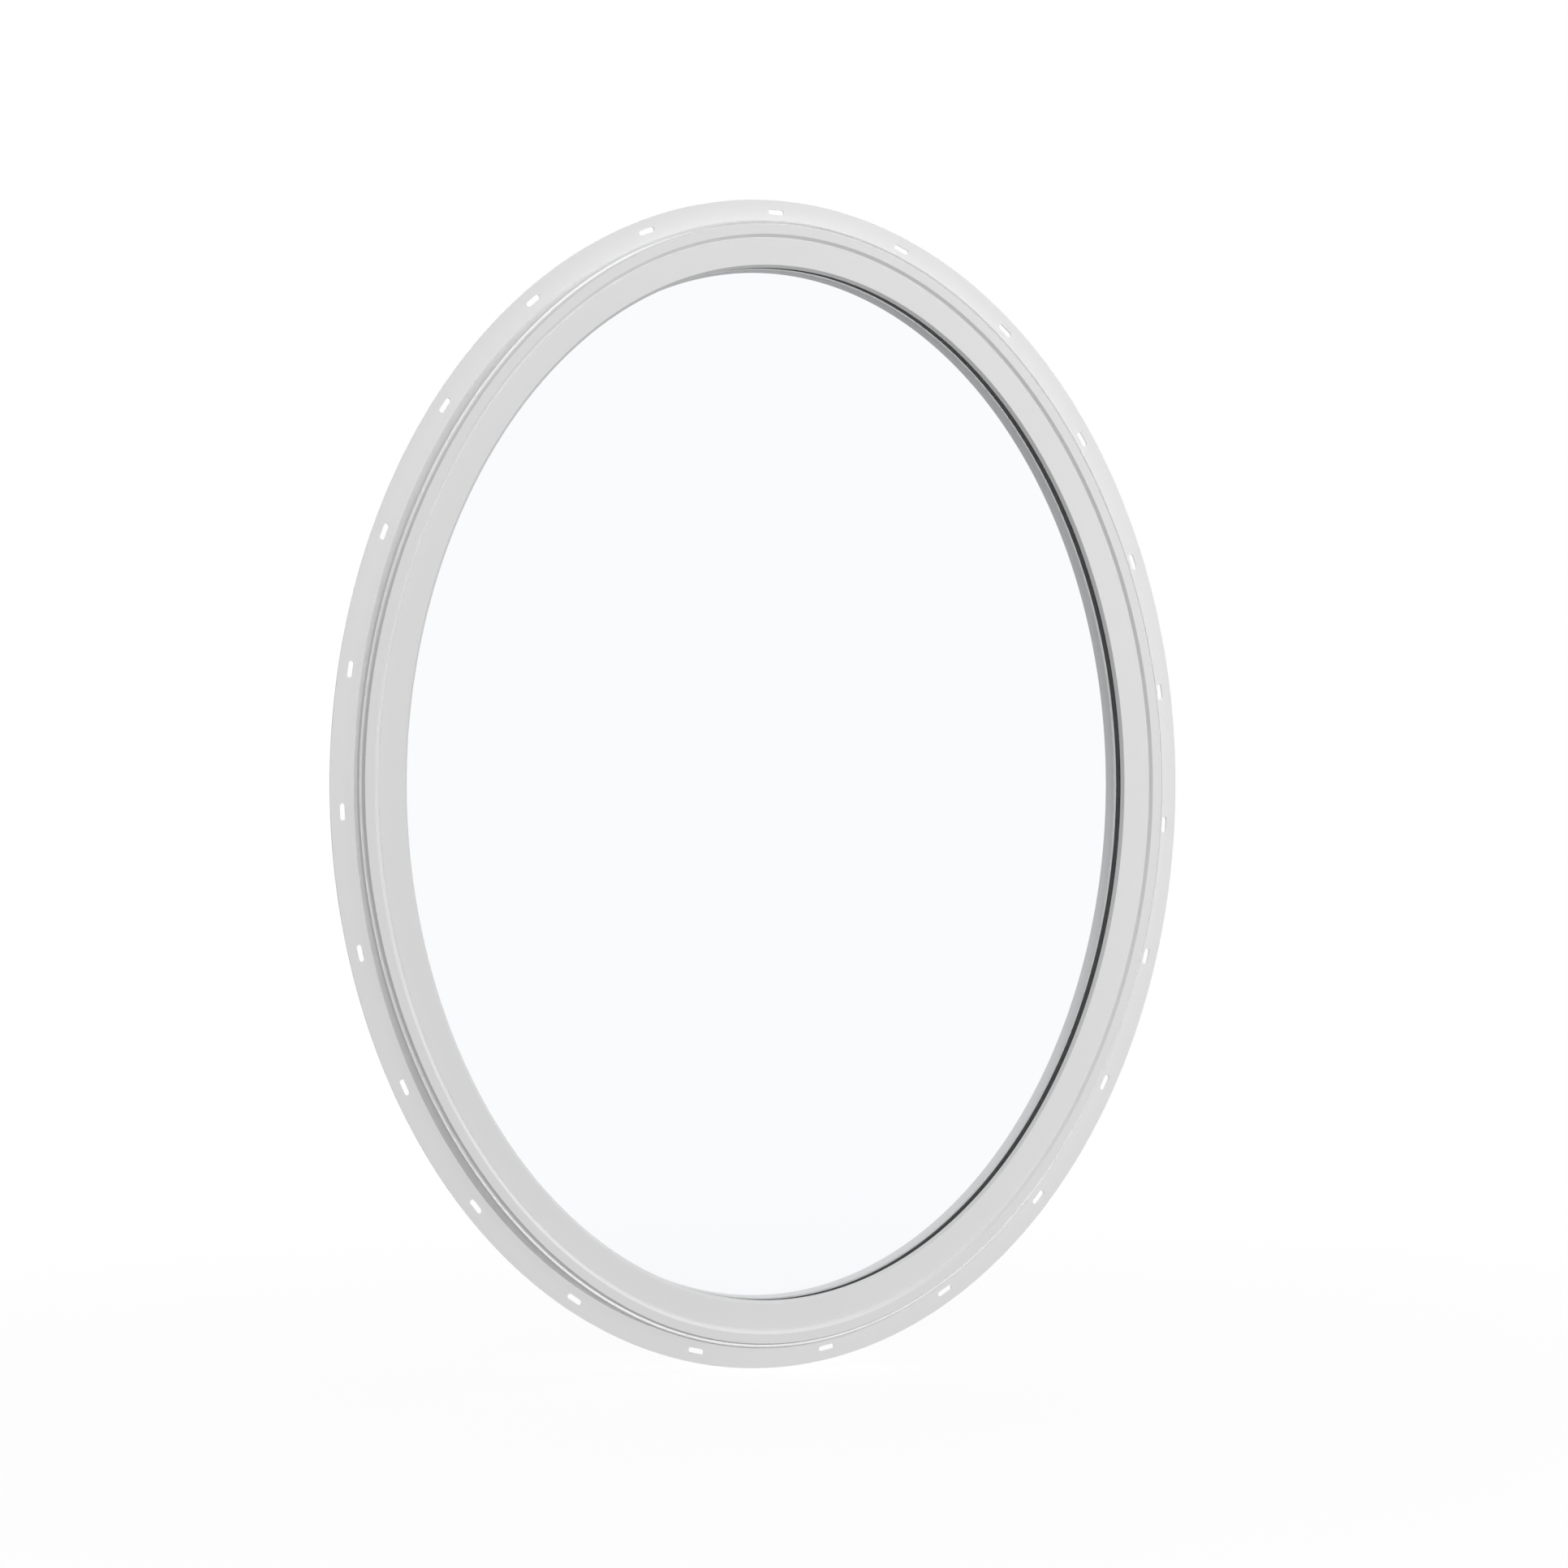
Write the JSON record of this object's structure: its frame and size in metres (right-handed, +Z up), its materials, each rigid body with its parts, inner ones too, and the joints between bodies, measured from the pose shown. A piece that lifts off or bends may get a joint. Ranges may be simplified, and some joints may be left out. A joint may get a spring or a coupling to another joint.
{
  "type": "oval window",
  "caption": "Fixed oval window: a white vinyl frame with a slotted nail fin, an accessory groove, a bevelled glazing bead and sealed double glazing.",
  "frame": {"origin": "centre of the oval on the nailing plane, the back face of the nail fin", "axes": "+Z up, +X to the right seen from outside, +Y through the wall into the room"},
  "size_m": [0.9636, 0.0515, 1.2686],
  "materials": {
    "white_vinyl": "satin extruded white PVC",
    "clear_glass": "clear float glass",
    "black_spacer": "matt black warm-edge foam",
    "black_sealant": "black butyl sealant",
    "white_tape": "white closed-cell foam tape",
    "block_rubber": "dull black rubber"
  },
  "bodies": {
    "root": {"frame": "white_vinyl", "nail_fin": "white_vinyl", "glazing_bead": "white_vinyl", "outer_pane": "clear_glass", "inner_pane": "clear_glass", "spacer": "black_spacer", "edge_seal": "black_sealant", "glazing_tape": "white_tape", "setting_block_left": "block_rubber", "setting_block_right": "block_rubber", "jamb_block_left": "block_rubber", "jamb_block_right": "block_rubber", "head_block_left": "block_rubber", "head_block_right": "block_rubber"}
  },
  "joints": []
}
